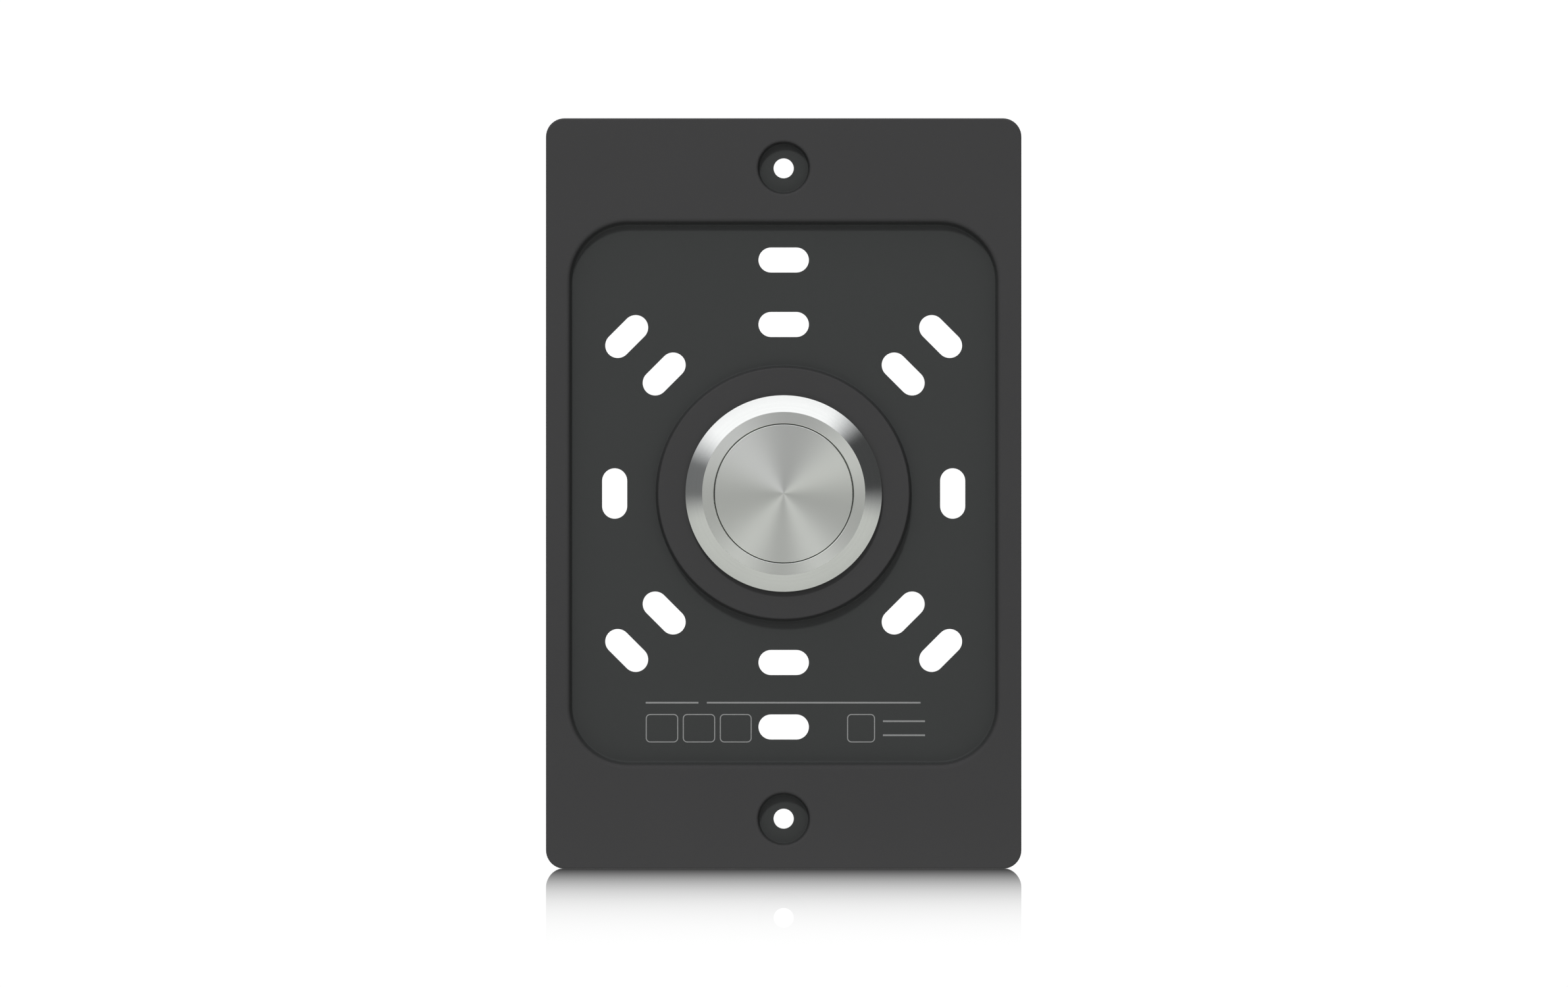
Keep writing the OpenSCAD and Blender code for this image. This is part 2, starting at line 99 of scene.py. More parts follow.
BROKEN_EDGE = (0.12 * MM, 0.10 * MM)  # width and depth of the bevel on the ring's bore and on the cap
EDGE_SOFT = 0.02 * MM                # rounding of the ring's and the cap's edges
HEAD_SOFT = 0.1 * MM                 # rounding of the head's outer edges
CARRIER_WALL = 0.8 * MM
BRIDGE_ROOM = 2.6 * MM               # the carrier's window in front of the bridge
RETURN_SEAT_Y = 3.4 * MM             # front of the guide bush, round its hub
SPRING_POCKET_Y = 20.8 * MM
REST_GAP = 0.05 * MM

LATHE_STEPS = 256


# ---------------------------------------------------------------- mesh helpers

def new_piece(name, mesh, body, slot, *materials):
    """Links a mesh as a piece that rides on a body."""
    piece = bpy.data.objects.new(name, mesh)
    bpy.context.scene.collection.objects.link(piece)
    for material in materials:
        piece.data.materials.append(material)
    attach(piece, body)
    return piece


def rounded(corners, steps=4):
    """An outline from (r, y, rounding) corners, each rounding a small curve between its two sides."""
    most = 0.45                      # of a side that one rounding may take
    points = []
    for i, (r, y, size) in enumerate(corners):
        here = Vector((r, y))
        before = Vector(corners[i - 1][:2]) - here
        after = Vector(corners[(i + 1) % len(corners)][:2]) - here
        if size == 0:
            points.append(here)
            continue
        start = here + before.normalized() * min(size, most * before.length)
        end = here + after.normalized() * min(size, most * after.length)
        for step in range(steps + 1):
            t = step / steps
            points.append(start * (1 - t) ** 2 + here * 2 * t * (1 - t) + end * t ** 2)
    return points


def ring_of(bm, r, y):
    """A ring of points about the Y axis, or one point where the radius is nothing."""
    if r < TINY:
        return [bm.verts.new((0, y, 0))]
    angles = [2 * math.pi * i / LATHE_STEPS for i in range(LATHE_STEPS)]
    return [bm.verts.new((r * math.cos(a), y, r * math.sin(a))) for a in angles]


def join_rings(bm, a, b, steps=LATHE_STEPS):
    """Faces between two rings, either of which may be a single point on the axis."""
    for i in range(steps):
        n = (i + 1) % steps
        if len(a) == 1:
            bm.faces.new((a[0], b[n], b[i]))
        elif len(b) == 1:
            bm.faces.new((a[i], a[n], b[0]))
        else:
            bm.faces.new((a[i], a[n], b[n], b[i]))


def finish_mesh(name, bm, sharp_deg=35, front_y=None):
    """A smooth-shaded mesh with its sharp edges kept. Faces that lie on front_y get the second material."""
    bmesh.ops.recalc_face_normals(bm, faces=bm.faces)
    if front_y is not None:
        for face in bm.faces:
            if all(abs(vert.co.y - front_y) < TINY for vert in face.verts):
                face.material_index = 1
    mesh = bpy.data.meshes.new(name)
    bm.to_mesh(mesh)
    bm.free()
    mesh.shade_smooth()
    mesh.set_sharp_from_angle(angle=math.radians(sharp_deg))
    return mesh


def keep_flats(piece):
    """Large flat faces keep their own shading beside a small rounding."""
    piece.modifiers.new("flats", "WEIGHTED_NORMAL").keep_sharp = True


# ---------------------------------------------------------------- node helpers

class Nodes:
    """A short way to write a material's or a world's nodes."""

    def __init__(self, owner):
        owner.use_nodes = True
        self.tree = owner.node_tree
        self.tree.nodes.clear()

    def add(self, kind, inputs=None, **settings):
        """A node with its inputs linked to other nodes or set to values."""
        node = self.tree.nodes.new(kind)
        for key, value in settings.items():
            setattr(node, key, value)
        for key, value in (inputs or {}).items():
            if isinstance(value, bpy.types.NodeSocket):
                self.tree.links.new(value, node.inputs[key])
            else:
                node.inputs[key].default_value = value
        return node

    def math(self, operation, a, b=0.0):
        return self.add("ShaderNodeMath", {0: a, 1: b}, operation=operation).outputs[0]

    def ramp(self, value, low, high, to_low=0.0, to_high=1.0, smooth=True):
        """Value mapped from low..high to to_low..to_high and held there outside."""
        spans = {"From Min": low, "From Max": high, "To Min": to_low, "To Max": to_high}
        kind = "SMOOTHSTEP" if smooth else "LINEAR"
        node = self.add("ShaderNodeMapRange", {"Value": value, **spans}, interpolation_type=kind)
        return node.outputs["Result"]

    def mix(self, factor, a, b):
        return self.add("ShaderNodeMix", {0: factor, 6: a, 7: b}, data_type="RGBA").outputs[2]

    def tone(self, colour, amount):
        """A colour made lighter or darker by an amount round 1."""
        inputs = {0: 1.0, 6: colour, 7: self.join(amount, amount, amount)}
        return self.add("ShaderNodeMix", inputs, data_type="RGBA", blend_type="MULTIPLY").outputs[2]

    def noise(self, vector, scale, detail=3.0, roughness=0.5):
        inputs = {"Vector": vector, "Scale": scale, "Detail": detail, "Roughness": roughness}
        return self.add("ShaderNodeTexNoise", inputs).outputs[0]

    def place(self):
        return self.add("ShaderNodeTexCoord").outputs["Object"]

    def split(self, vector):
        node = self.add("ShaderNodeSeparateXYZ", {0: vector})
        return node.outputs[0], node.outputs[1], node.outputs[2]

    def join(self, x, y, z):
        return self.add("ShaderNodeCombineXYZ", {0: x, 1: y, 2: z}).outputs[0]

    def radius(self, x, z):
        squares = self.math("ADD", self.math("MULTIPLY", x, x), self.math("MULTIPLY", z, z))
        return self.math("SQRT", squares)

    def bump(self, height, strength=1.0, distance=1.0):
        inputs = {"Strength": strength, "Distance": distance, "Height": height}
        return self.add("ShaderNodeBump", inputs).outputs[0]

    def principled(self, **inputs):
        """The material's shader. Underscores in the inputs' names stand for spaces."""
        named = {key.replace("_", " "): value for key, value in inputs.items()}
        shader = self.add("ShaderNodeBsdfPrincipled", named)
        self.add("ShaderNodeOutputMaterial", {"Surface": shader.outputs[0]})


def grey(value, tint=(1.0, 1.0, 1.0)):
    return (value * tint[0], value * tint[1], value * tint[2], 1.0)


def new_material(name):
    material = bpy.data.materials.new(name)
    return material, Nodes(material)


# ---------------------------------------------------------------- materials

COAT_GREY = 0.0305
STEEL_TINT = (0.97, 1.0, 0.937)
STEEL_GREY = 0.64
GROOVE_LEAN = 0.10                   # slope of the turned grooves' flanks, away from the middle
GROOVE_DEPTH = 0.0004 * MM
GRAIN_DEPTH = 0.004 * MM             # depth of the satin steel's grain
PANEL_SHADE_DEPTHS = (0.3 * MM, 1.6 * MM)    # depths below the rim over which painted shade makes the coat darker and a touch greener


def powder_coat():
    """Matte dark grey coat on the casting: fine orange peel, and painted shade that makes it darker and a
    shade cooler in the sunken panel.
    """
    material, n = new_material("powder_coat")
    place = n.place()
    _, y, _ = n.split(place)
    peel = n.noise(place, 5200.0, detail=2.0)
    cloud = n.noise(place, 70.0, detail=2.0)
    # Painted shade: deeper than the rim, in the sunken panel, the coat is made darker and a touch greener.
    panel_shade = n.ramp(y, RIM_Y + PANEL_SHADE_DEPTHS[0], RIM_Y + PANEL_SHADE_DEPTHS[1])
    base = n.mix(panel_shade, grey(COAT_GREY), grey(COAT_GREY * 0.94, (0.97, 1.03, 1.0)))
    n.principled(
        Base_Color=n.tone(base, n.ramp(cloud, 0.3, 0.7, 0.99, 1.01)),
        Roughness=n.ramp(peel, 0.2, 0.8, 0.53, 0.65),
        Specular_IOR_Level=0.25,
        Normal=n.bump(peel, 0.2, 0.02 * MM),
    )
    return material


def turned_steel():
    """A face turned on a lathe: fine rings, and highlights that run out along the radius."""
    material, n = new_material("turned_stainless")
    place = n.place()
    x, _, z = n.split(place)
    radius = n.radius(x, z)
    rings = n.noise(n.join(radius, 0.0, 0.0), 9000.0, detail=4.0, roughness=0.7)
    grain = n.noise(place, 6000.0, detail=2.0)
    lean = n.math("MULTIPLY", radius, -GROOVE_LEAN)
    groove = n.math("MULTIPLY", rings, GROOVE_DEPTH)
    tangent = n.add("ShaderNodeTangent", direction_type="RADIAL", axis="Y")
    streaks = n.ramp(rings, 0.25, 0.75, 0.98, 1.02, smooth=False)
    n.principled(
        Base_Color=n.tone(grey(STEEL_GREY, STEEL_TINT), streaks),
        Metallic=1.0,
        Roughness=n.ramp(grain, 0.3, 0.7, 0.345, 0.375),
        Anisotropic=0.8,
        Anisotropic_Rotation=0.25,
        Tangent=tangent.outputs[0],
        Normal=n.bump(n.math("ADD", lean, groove)),
    )
    return material


def satin_steel():
    """Satin steel on the chamfer, the sides and the thread: an even fine grain."""
    material, n = new_material("satin_stainless")
    place = n.place()
    x, y, z = n.split(place)
    grain = n.noise(place, 9000.0, roughness=0.6)
    rings = n.noise(n.join(n.radius(x, z), y, 0.0), 5000.0)
    n.principled(
        Base_Color=n.tone(grey(STEEL_GREY, STEEL_TINT), n.ramp(rings, 0.3, 0.7, 0.985, 1.015)),
        Metallic=1.0,
        Roughness=n.ramp(grain, 0.3, 0.7, 0.12, 0.16),
        Normal=n.bump(grain, 1.0, GRAIN_DEPTH),
    )
    return material


def plain_metal(name, base, roughness, wear_scale=300.0, wear=0.12):
    """Bare or plated metal: small scratches, a cloudy sheen and a slightly worn tone."""
    material, n = new_material(name)
    place = n.place()
    x, y, z = n.split(place)
    cloud = n.noise(place, wear_scale, detail=5.0, roughness=0.6)
    scratch = n.noise(n.join(n.math("MULTIPLY", x, 9.0), y, z), 1500.0)
    n.principled(
        Base_Color=n.tone(base, n.ramp(cloud, 0.3, 0.7, 1.0 - wear, 1.0 + wear / 2)),
        Metallic=1.0,
        Roughness=n.ramp(cloud, 0.3, 0.7, roughness - 0.05, roughness + 0.08),
        Normal=n.bump(scratch, 0.12, 0.02 * MM),
    )
    return material


def moulding(name, base, roughness, grain_scale=2200.0, depth=0.0):
    """Moulded plastic or rubber: an eroded grain, a slight drift of tone and, with depth, a soft body."""
    material, n = new_material(name)
    place = n.place()
    grain = n.noise(place, grain_scale, detail=2.0)
    drift = n.noise(place, 90.0, detail=2.0)
    n.principled(
        Base_Color=n.tone(base, n.ramp(drift, 0.3, 0.7, 0.93, 1.05)),
        Roughness=n.ramp(grain, 0.25, 0.75, roughness - 0.06, roughness + 0.08),
        Subsurface_Weight=depth,
        Subsurface_Scale=0.8 * MM,
        Normal=n.bump(grain, 0.3, 0.03 * MM),
    )
    return material


def laser_mark():
    """The coat lightened by a laser: fine speckle, quite matte."""
    material, n = new_material("laser_mark")
    place = n.place()
    speckle = n.noise(place, 16000.0, detail=2.0)
    n.principled(
        Base_Color=n.tone(grey(0.19, (1.0, 1.02, 1.0)), n.ramp(speckle, 0.3, 0.7, 0.8, 1.15)),
        Roughness=n.ramp(speckle, 0.3, 0.7, 0.65, 0.8),
        Normal=n.bump(speckle, 0.2, 0.01 * MM),
    )
    return material


COAT = powder_coat()
TURNED = turned_steel()
SATIN = satin_steel()
MARK = laser_mark()
RUBBER = moulding("black_rubber", grey(0.014), 0.62, 3000.0)
DARK = moulding("dark_nylon", grey(0.020, (1.0, 1.0, 1.08)), 0.5)
PALE = moulding("pale_acetal", grey(0.68, (1.0, 0.98, 0.9)), 0.42, 1600.0, 0.15)
BRASS = plain_metal("brass_strip", (0.78, 0.56, 0.23, 1.0), 0.26)
SILVER = plain_metal("silver_rivet", grey(0.86), 0.22)
ZINC = plain_metal("zinc_plate", grey(0.60, (1.0, 1.01, 1.03)), 0.30, 420.0, 0.16)
SPRING = plain_metal("spring_wire", grey(0.45), 0.28)

MATERIAL_OF_SLOT = {
    "casting": COAT,
    "stainless": SATIN,
    "rubber": RUBBER,
    "dark_moulding": DARK,
    "pale_moulding": PALE,
    "brass": BRASS,
    "silver": SILVER,
    "plated_steel": ZINC,
    "spring_steel": SPRING,
}


def dress_cad_nodes():
    """Gives each CAD node the material of its slot."""
    slots = {part["node"]: part["material_slot"] for part in frame["record"]["subparts"]}
    for name, node in frame["nodes"].items():
        node.data.materials.clear()
        node.data.materials.append(MATERIAL_OF_SLOT[slots[name]])


# ---------------------------------------------------------------- bezel and cap

def bezel_outline():
    """Half section of the bezel without its thread, from the thread's start round to its end."""
    groove_in, groove_out, groove_depth = SEAL_GROOVE
    groove_y = RIM_Y - groove_depth
    return rounded([
        (THREAD_ROOT, THREAD_START_Y, 0),
        (THREAD_ROOT, RIM_Y, 0),
        (groove_in, RIM_Y, 0),
        (groove_in, groove_y, 0),
        (groove_out, groove_y, 0),
        (groove_out, RIM_Y, 0),
        (HEAD_R, RIM_Y, HEAD_SOFT),
        (HEAD_R, RIM_Y - LIP, HEAD_SOFT),
        (RING_R, HEAD_Y, EDGE_SOFT),
        (BORE_R + BROKEN_EDGE[0], HEAD_Y, EDGE_SOFT),
        (BORE_R, HEAD_Y + BROKEN_EDGE[1], EDGE_SOFT),
        (BORE_R, SHOULDER_Y, 0),
        (INNER_R, SHOULDER_Y, 0),
        (INNER_R, circlip_low.y, 0),
        (CIRCLIP_GROOVE_R, circlip_low.y, 0),
        (CIRCLIP_GROOVE_R, circlip_high.y, 0),
        (INNER_R, circlip_high.y, 0),
        (INNER_R, BARREL_END_Y, 0),
        (THREAD_ROOT - BARREL_BEVEL, BARREL_END_Y, 0),
        (THREAD_ROOT, BARREL_END_Y - BARREL_BEVEL, 0),
    ])


def thread_height(turns):
    """How far the thread stands out of its root at a point along one pitch, from 0 to 1."""
    root, flank, crest = 0.1875, 0.34375, 0.125  # parts of a pitch, with a flank either side
    t = turns % 1.0
    if t < root:
        return 0.0
    if t < root + flank:
        return (t - root) / flank
    if t < root + flank + crest:
        return 1.0
    return (1.0 - t) / flank


def bezel_and_barrel():
    """Bezel and barrel in one mesh, with a true helical thread that runs out at both ends."""
    steps_per_pitch = 8
    run_out = 6                      # steps over which the thread fades out at each end
    start_y = BARREL_END_Y - BARREL_BEVEL
    length = start_y - THREAD_START_Y
    count = int(length / THREAD_PITCH * steps_per_pitch)
    bm = bmesh.new()
    rings = [ring_of(bm, r, y) for r, y in bezel_outline()]
    for k in range(1, count):
        y = start_y - length * k / count
        fade = min(1.0, k / run_out, (count - k) / run_out)
        ring = ring_of(bm, THREAD_ROOT, y)
        for i, vert in enumerate(ring):
            height = thread_height((y - THREAD_START_Y) / THREAD_PITCH - i / LATHE_STEPS)
            grow = 1 + (THREAD_CREST / THREAD_ROOT - 1) * height * fade
            vert.co.x *= grow
            vert.co.z *= grow
        rings.append(ring)
    for here, there in zip(rings, rings[1:] + rings[:1]):
        join_rings(bm, here, there)
    mesh = finish_mesh("bezel_and_barrel", bm, sharp_deg=25, front_y=HEAD_Y)
    piece = new_piece("bezel_and_barrel", mesh, "plate", "stainless", SATIN, TURNED)
    keep_flats(piece)
    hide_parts("bezel_barrel")


def cap_outline():
    """Half section of the cap, from the middle of its face round to the plunger's socket."""
    fillet = 0.4 * MM
    step_y = (CAP_Y + 1.6 * MM, CAP_Y + 1.75 * MM)
    seal_r, seal_y = 10.98 * MM, (CAP_Y + 2.3 * MM, CAP_Y + 3.9 * MM)
    snap_r, snap_y = 11.58 * MM, (CAP_BACK_Y - 1.5 * MM, CAP_BACK_Y - 0.65 * MM)
    end_r, skirt_r = 11.98 * MM, 10.14 * MM
    hub_r, hub_y = 3.2 * MM, CAP_Y + 6.0 * MM
    socket_r, socket_y = 2.0 * MM, CAP_Y + 2.8 * MM
    return rounded([
        (0, CAP_Y, 0),
        (CAP_R - BROKEN_EDGE[0], CAP_Y, EDGE_SOFT),
        (CAP_R, CAP_Y + BROKEN_EDGE[1], EDGE_SOFT),
        (CAP_R, step_y[0], 0),
        (GUIDE_R, step_y[1], 0),
        (GUIDE_R, seal_y[0], 0),
        (seal_r, seal_y[0], 0),
        (seal_r, seal_y[1], 0),
        (GUIDE_R, seal_y[1], 0),
        (GUIDE_R, snap_y[0], 0),
        (snap_r, snap_y[0], 0),
        (snap_r, snap_y[1], 0),
        (end_r, snap_y[1], 0),
        (end_r, CAP_BACK_Y, 0),
        (skirt_r, CAP_BACK_Y, 0),
        (skirt_r, CAP_Y + CAP_DISC, fillet),
        (hub_r, CAP_Y + CAP_DISC, fillet),
        (hub_r, hub_y, 0),
        (socket_r, hub_y, 0),
        (socket_r, socket_y, 0),
        (0, socket_y, 0),
    ])


def push_cap():
    """The cap: a flat turned face with a broken edge, its grooves, its skirt and its hub."""
    bm = bmesh.new()
    rings = [ring_of(bm, r, y) for r, y in cap_outline()]
    for here, there in zip(rings, rings[1:]):
        join_rings(bm, here, there)
    mesh = finish_mesh("push_cap", bm, front_y=CAP_Y)
    piece = new_piece("push_cap", mesh, "button", "stainless", SATIN, TURNED)
    keep_flats(piece)
    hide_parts("button_cap")


# ---------------------------------------------------------------- springs

# Mean radius of each coil and radius of its wire
RETURN_COIL = (7.2 * MM, 0.5 * MM)
CARRIER_COIL = (1.9 * MM, 0.2 * MM)
BRIDGE_COIL = (1.0 * MM, 0.16 * MM)


def coil_heights(length, wire_r, turns, steps):
    """Heights of a compression spring's wire at each step. Its first and last turns lie closed."""
    opens_at, opens_over = 0.8, 0.4  # turns from either end
    closed = 2 * wire_r
    open_pitch = (length - 2 * wire_r - 2 * closed) / (turns - 2)
    heights = [wire_r]
    for i in range(turns * steps):
        turn = (i + 0.5) / steps
        share = min(1.0, max(0.0, (min(turn, turns - turn) - opens_at) / opens_over))
        heights.append(heights[-1] + (closed + (open_pitch - closed) * share) / steps)
    return heights


def coil_mesh(name, mean_r, wire_r, low_y, high_y, turns):
    """A coil spring about the Y axis: round wire swept along its helix."""
    steps, sides = 40, 12
    bm = bmesh.new()
    loops = []
    for i, height in enumerate(coil_heights(high_y - low_y, wire_r, turns, steps)):
        a = 2 * math.pi * i / steps
        loop = []
        for k in range(sides):
            b = 2 * math.pi * k / sides
            r = mean_r + wire_r * math.cos(b)
            y = low_y + height + wire_r * math.sin(b)
            loop.append(bm.verts.new((r * math.cos(a), y, r * math.sin(a))))
        loops.append(loop)
    for here, there in zip(loops, loops[1:]):
        join_rings(bm, here, there, sides)
    bm.faces.new(loops[0])
    bm.faces.new(loops[-1])
    return finish_mesh(name, bm, sharp_deg=60)


def coil_spring(name, node, size, span, turns, body, fixed_y=None):
    """A spring in a span of Y. With fixed_y, the piece gets a mesh of its own."""
    low_y, high_y = span
    mesh = coil_mesh(name, *size, low_y + REST_GAP, high_y - REST_GAP, turns)
    piece = new_piece(name, mesh, body, "spring_steel", SPRING)
    if fixed_y is not None:
        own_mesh(piece)
    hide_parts(node)


def springs():
    """The coil springs, each in the room that its neighbours leave."""
    cap_under = CAP_Y + CAP_DISC
    window_rear = carrier_high.y - CARRIER_WALL
    window_front = bridge_low.y - BRIDGE_ROOM
    coil_spring("return_coil", "return_spring", RETURN_COIL,
                (cap_under, RETURN_SEAT_Y), 6, "plate", RETURN_SEAT_Y)
    coil_spring("carrier_coil", "carrier_spring", CARRIER_COIL,
                (carrier_high.y, SPRING_POCKET_Y), 6, "plate", SPRING_POCKET_Y)
    coil_spring("bridge_coil_front", "bridge_springs", BRIDGE_COIL,
                (window_front, bridge_low.y), 4, "button", window_front)
    coil_spring("bridge_coil_rear", "bridge_springs", BRIDGE_COIL,
                (bridge_high.y, window_rear), 3, "button")


# ---------------------------------------------------------------- marking

MARK_PROUD = 0.015 * MM
RULE_WIDTH = 0.3 * MM
LINE_WIDTH = 0.18 * MM
FIELD_Z = (-44.3 * MM, -39.4 * MM)
FIELD_CORNER = 0.7 * MM
# Start, end and height of each rule, and the sides of each field, in millimetres
RULES = ((-24.6, -15.2, -37.3), (-13.7, 24.4, -37.3), (17.7, 25.2, -40.6), (17.7, 25.2, -43.1))
FIELDS = ((-24.5, -18.9), (-17.9, -12.3), (-11.3, -5.8), (11.4, 16.2))


def ribbon(bm, points, width, closed=False):
    """A thin raised line on the panel's floor through (x, z) points, mitred at its corners."""
    count = len(points)
    rows = []
    for i in range(count):
        here = Vector(points[i])
        before = here - Vector(points[i - 1])
        after = Vector(points[(i + 1) % count]) - here
        if not closed and i == 0:
            before = after
        if not closed and i == count - 1:
            after = before
        along = (before.normalized() + after.normalized()).normalized()
        across = Vector((-along.y, along.x)) * width / 2 / along.dot(after.normalized())
        row = []
        for place, y in ((here + across, PANEL_Y), (here + across, PANEL_Y - MARK_PROUD),
                         (here - across, PANEL_Y - MARK_PROUD), (here - across, PANEL_Y)):
            row.append(bm.verts.new((place.x, y, place.y)))
        rows.append(row)
    for i in range(count if closed else count - 1):
        join_rings(bm, rows[i], rows[(i + 1) % count], 4)
    if not closed:
        bm.faces.new(rows[0])
        bm.faces.new(rows[-1])


def rounded_field(x0, x1, z0, z1, r, steps=6):
    """Points round a rectangle with round corners."""
    points = []
    corners = ((x1 - r, z1 - r), (x0 + r, z1 - r), (x0 + r, z0 + r), (x1 - r, z0 + r))
    for quarter, (x, z) in enumerate(corners):
        for i in range(steps + 1):
            a = math.pi / 2 * (quarter + i / steps)
            points.append((x + r * math.cos(a), z + r * math.sin(a)))
    return points


def panel_marking():
    """Blank marking low on the panel: plain rules and empty fields."""
    bm = bmesh.new()
    for x0, x1, z in RULES:
        ribbon(bm, [(x0 * MM, z * MM), (x1 * MM, z * MM)], RULE_WIDTH)
    for x0, x1 in FIELDS:
        field = rounded_field(x0 * MM, x1 * MM, *FIELD_Z, FIELD_CORNER)
        ribbon(bm, field, LINE_WIDTH, closed=True)
    new_piece("panel_marking", finish_mesh("panel_marking", bm), "plate", "casting", MARK)


# ---------------------------------------------------------------- stage

# Angles are clock angles from up and tilts from the button's axis, in degrees. A span without a unit is
# a part of the unit vector from the button.
WHITE = 1.02                         # what the camera sees as plain white
FLOOR_LIGHT = 0.80
FLOOR_SPAN = (0.16, -0.32)           # heights between which the floor's light comes in
FRONT_LIGHT = 0.457
FRONT_EDGE = (78, 66)                # tilts between which the light in front comes in
OVERHEAD_LIGHT = 1.57
OVERHEAD_TINT = (1.0, 0.985, 1.045, 1.0)
OVERHEAD_EDGES = (-80, -45, 28, 58)  # clock angles at which the overhead panel starts, is full and ends
SIDE_LIGHT = (0.23, 0.08)            # left and right
SIDE_SPAN = 0.4                      # how far left and right the light changes from one to the other
SIDE_TINT = (1.0, 1.0, 1.07, 1.0)
BEHIND = (0.75, 0.9)                 # where the white far behind the plate starts and is full
# Soft patches of light in front of the button: clock angle, tilt, radius and strength
PATCHES = ((62, 27, 15, 1.65), (153, 27, 11, 2.15), (213, 27, 12, 2.0), (311, 27, 19, 1.15))


def off_axis(clock_deg, tilt_deg, distance=1.0):
    """A place in front of the button, by its clock angle from up and its tilt from the button's axis."""
    clock = math.radians(clock_deg)
    tilt = math.radians(tilt_deg)
    side = distance * math.sin(tilt)
    return (side * math.sin(clock), -distance * math.cos(tilt), side * math.cos(clock))


def studio_light(n, toward):
    """The studio's light, by direction from the button.

    A white panel hangs overhead, the sides are dark and the floor is pale. In front lie soft patches
    on mid grey.
    """
    x, y, z = n.split(toward)
    clock = n.math("ARCTAN2", x, z)
    start, full_from, full_to, end = [math.radians(edge) for edge in OVERHEAD_EDGES]
    panel = n.math("MULTIPLY", n.ramp(clock, start, full_from), n.ramp(clock, end, full_to))
    side = n.ramp(x, -SIDE_SPAN, SIDE_SPAN, *SIDE_LIGHT)
    low = n.ramp(z, *FLOOR_SPAN)
    below = n.math("MULTIPLY", low, FLOOR_LIGHT)
    around = n.math("MAXIMUM", n.math("MAXIMUM", side, below), n.math("MULTIPLY", panel, OVERHEAD_LIGHT))
    front = FRONT_LIGHT
    for clock_deg, tilt, radius, strength in PATCHES:
        inputs = {0: toward, 1: off_axis(clock_deg, tilt)}
        near = n.add("ShaderNodeVectorMath", inputs, operation="DOT_PRODUCT").outputs["Value"]
        front = n.math("ADD", front, n.ramp(near, math.cos(math.radians(radius)), 1.0, 0.0, strength))
    front_edge = [-math.cos(math.radians(tilt)) for tilt in FRONT_EDGE]
    in_front = n.ramp(y, *front_edge)
    share = n.math("MULTIPLY", in_front, front)
    level = n.math("ADD", share, n.math("MULTIPLY", n.math("SUBTRACT", 1.0, in_front), around))
    tint = n.mix(n.math("MAXIMUM", low, in_front), SIDE_TINT, grey(1.0))
    return n.tone(n.mix(panel, tint, OVERHEAD_TINT), level)


def studio_world():
    """The studio, with white far behind the plate and where the camera or the floor's mirror sees it."""
    world = bpy.data.worlds.new("studio")
    bpy.context.scene.world = world
    n = Nodes(world)
    toward = n.add("ShaderNodeTexCoord").outputs["Generated"]
    _, y, _ = n.split(toward)
    path = n.add("ShaderNodeLightPath").outputs
    seen = n.math("MAXIMUM", path["Is Camera Ray"], path["Is Singular Ray"])
    unseen = n.mix(n.ramp(y, *BEHIND), studio_light(n, toward), grey(1.0))
    background = n.add("ShaderNodeBackground", {"Color": n.mix(seen, unseen, grey(WHITE))})
    n.add("ShaderNodeOutputWorld", {"Surface": background.outputs[0]})


FLOOR_HALF = 6.0
FLOOR_LIFT = 0.005 * MM              # keeps the floor out of the plane of the plate's lower face
POLISH_START = 1 * MM                # how far behind the rim's front the polish starts
POLISH_REACH = 0.145                 # how far ahead of it the polish fades
POLISH_FALL = 1.3
POLISH_EDGE = 2 * MM                 # how far beside the plate it ends
CONTACT_SHADOW_TONE = 0.88                  # the white's share that the painted contact shadow leaves where the plate meets the floor
CONTACT_CENTRE = 1 * MM              # how far ahead of the rim's front the painted shadow is darkest
CONTACT_AHEAD = 5 * MM               # how far it fades ahead and beside the plate
CONTACT_SIDE = 3.5 * MM


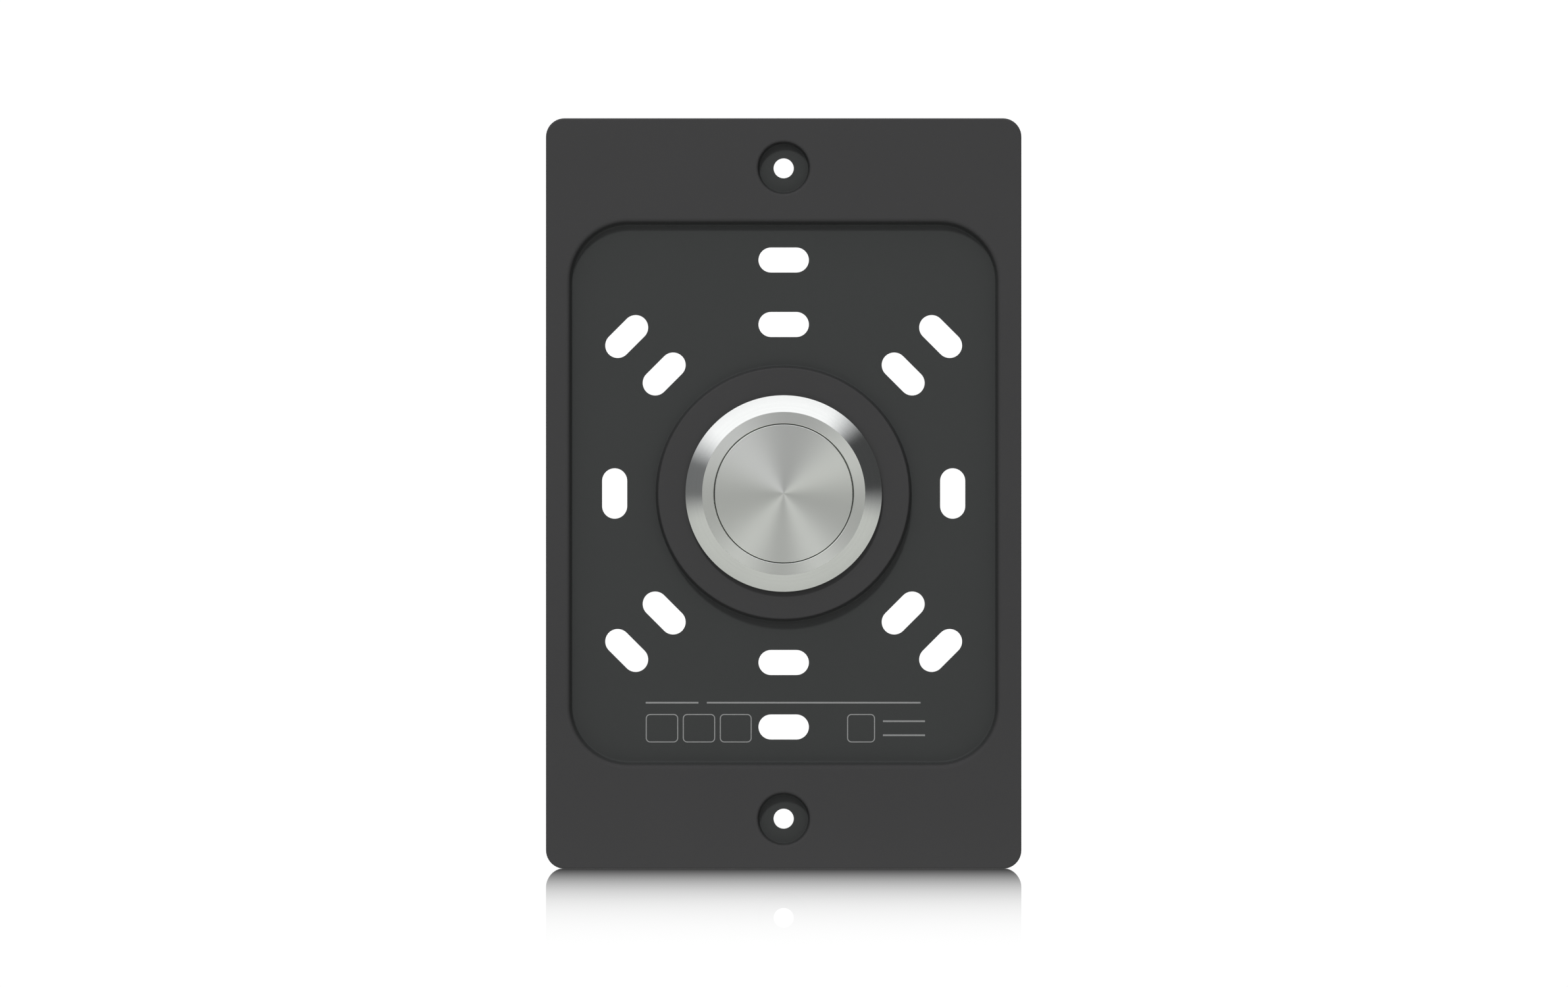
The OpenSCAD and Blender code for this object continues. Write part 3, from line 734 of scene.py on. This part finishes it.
def floor_material():
    """White floor with a painted contact shadow where the plate meets it. In front of the plate the camera
    sees it polished, less so with distance.

    The object sees the studio's own light in it.
    """
    material, n = new_material("studio_floor")
    position = n.add("ShaderNodeNewGeometry").outputs["Position"]
    x, y, _ = n.split(position)
    beside = n.math("ABSOLUTE", x)
    ahead = n.math("SUBTRACT", RIM_Y, y)
    seen = n.add("ShaderNodeLightPath").outputs["Is Camera Ray"]

    reach = n.math("POWER", n.math("DIVIDE", n.math("MAXIMUM", ahead, 0.0), POLISH_REACH), POLISH_FALL)
    fade = n.math("EXPONENT", n.math("MULTIPLY", reach, -1.0))
    in_front = n.math("GREATER_THAN", ahead, -POLISH_START)
    under = n.ramp(beside, plate_high.x, plate_high.x + POLISH_EDGE, 1.0, 0.0)
    polish = n.math("MULTIPLY", n.math("MULTIPLY", fade, in_front), n.math("MULTIPLY", under, seen))

    # Painted contact shadow: near the plate's foot, the white that the camera sees is made darker.
    foot = plate_high.x - PLATE_CORNER  # where the plate's round corner leaves the floor
    past = n.math("DIVIDE", n.math("MAXIMUM", n.math("SUBTRACT", beside, foot), 0.0), CONTACT_SIDE)
    away = n.math("DIVIDE", n.math("SUBTRACT", ahead, CONTACT_CENTRE), CONTACT_AHEAD)
    falloff = n.math("ADD", past, n.math("MULTIPLY", away, away))
    contact = n.math("EXPONENT", n.math("MULTIPLY", falloff, -1.0))

    away_from = {0: position, 1: (0, HEAD_Y, 0)}
    offset = n.add("ShaderNodeVectorMath", away_from, operation="SUBTRACT").outputs[0]
    toward = n.add("ShaderNodeVectorMath", {0: offset}, operation="NORMALIZE").outputs[0]
    shaded = n.mix(contact, grey(WHITE), grey(CONTACT_SHADOW_TONE * WHITE))
    white = n.add("ShaderNodeEmission", {"Color": n.mix(seen, studio_light(n, toward), shaded)})
    mirror = n.add("ShaderNodeBsdfGlossy", {"Color": grey(1.0), "Roughness": 0.0})
    mixed = n.add("ShaderNodeMixShader", {0: polish, 1: white.outputs[0], 2: mirror.outputs[0]})
    n.add("ShaderNodeOutputMaterial", {"Surface": mixed.outputs[0]})
    return material


def floor():
    """A wide floor under the plate."""
    bm = bmesh.new()
    bmesh.ops.create_grid(bm, x_segments=12, y_segments=12, size=FLOOR_HALF)
    mesh = finish_mesh("studio_floor", bm)
    piece = bpy.data.objects.new("studio_floor", mesh)
    piece.location.z = FLOOR_Z + FLOOR_LIFT
    bpy.context.scene.collection.objects.link(piece)
    piece.data.materials.append(floor_material())


# Direction, distance, side and power of the key light
KEY_CLOCK = -12
KEY_TILT = 38
KEY_AWAY = 1.6
KEY_SIZE = 0.18
KEY_POWER = 20.0


def key_light():
    """One small light above the camera, which casts the steps' shadows."""
    light = bpy.data.lights.new("key", "AREA")
    light.shape = "SQUARE"
    light.size = KEY_SIZE
    light.energy = KEY_POWER
    lamp = bpy.data.objects.new("key", light)
    lamp.location = off_axis(KEY_CLOCK, KEY_TILT, KEY_AWAY)
    lamp.rotation_euler = (-Vector(lamp.location)).to_track_quat("-Z", "Y").to_euler()
    lamp.visible_camera = False
    lamp.visible_glossy = False
    bpy.context.scene.collection.objects.link(lamp)


# ---------------------------------------------------------------- camera

CAMERA_AWAY = 2.5
VIEW_WIDTH = 0.2793                  # width of the view at the rim
VIEW_END = 50.0                      # how far the camera sees
SENSOR = 36.0
IMAGE_WIDTH = 2383


def camera():
    """A long lens, square on to the plate and half a pixel right of its middle."""
    lens = bpy.data.cameras.new("camera")
    lens.sensor_width = SENSOR
    lens.lens = SENSOR * CAMERA_AWAY / VIEW_WIDTH
    lens.clip_end = VIEW_END
    eye = bpy.data.objects.new("camera", lens)
    half_pixel = VIEW_WIDTH / IMAGE_WIDTH / 2
    eye.location = (half_pixel, RIM_Y - CAMERA_AWAY, (plate_low.z + plate_high.z) / 2)
    eye.rotation_euler = (math.radians(90), 0, 0)
    bpy.context.scene.collection.objects.link(eye)
    bpy.context.scene.camera = eye


# ---------------------------------------------------------------- build

bpy.context.scene.view_settings.view_transform = "Standard"

dress_cad_nodes()
bezel_and_barrel()
push_cap()
springs()
panel_marking()
floor()
studio_world()
key_light()
camera()
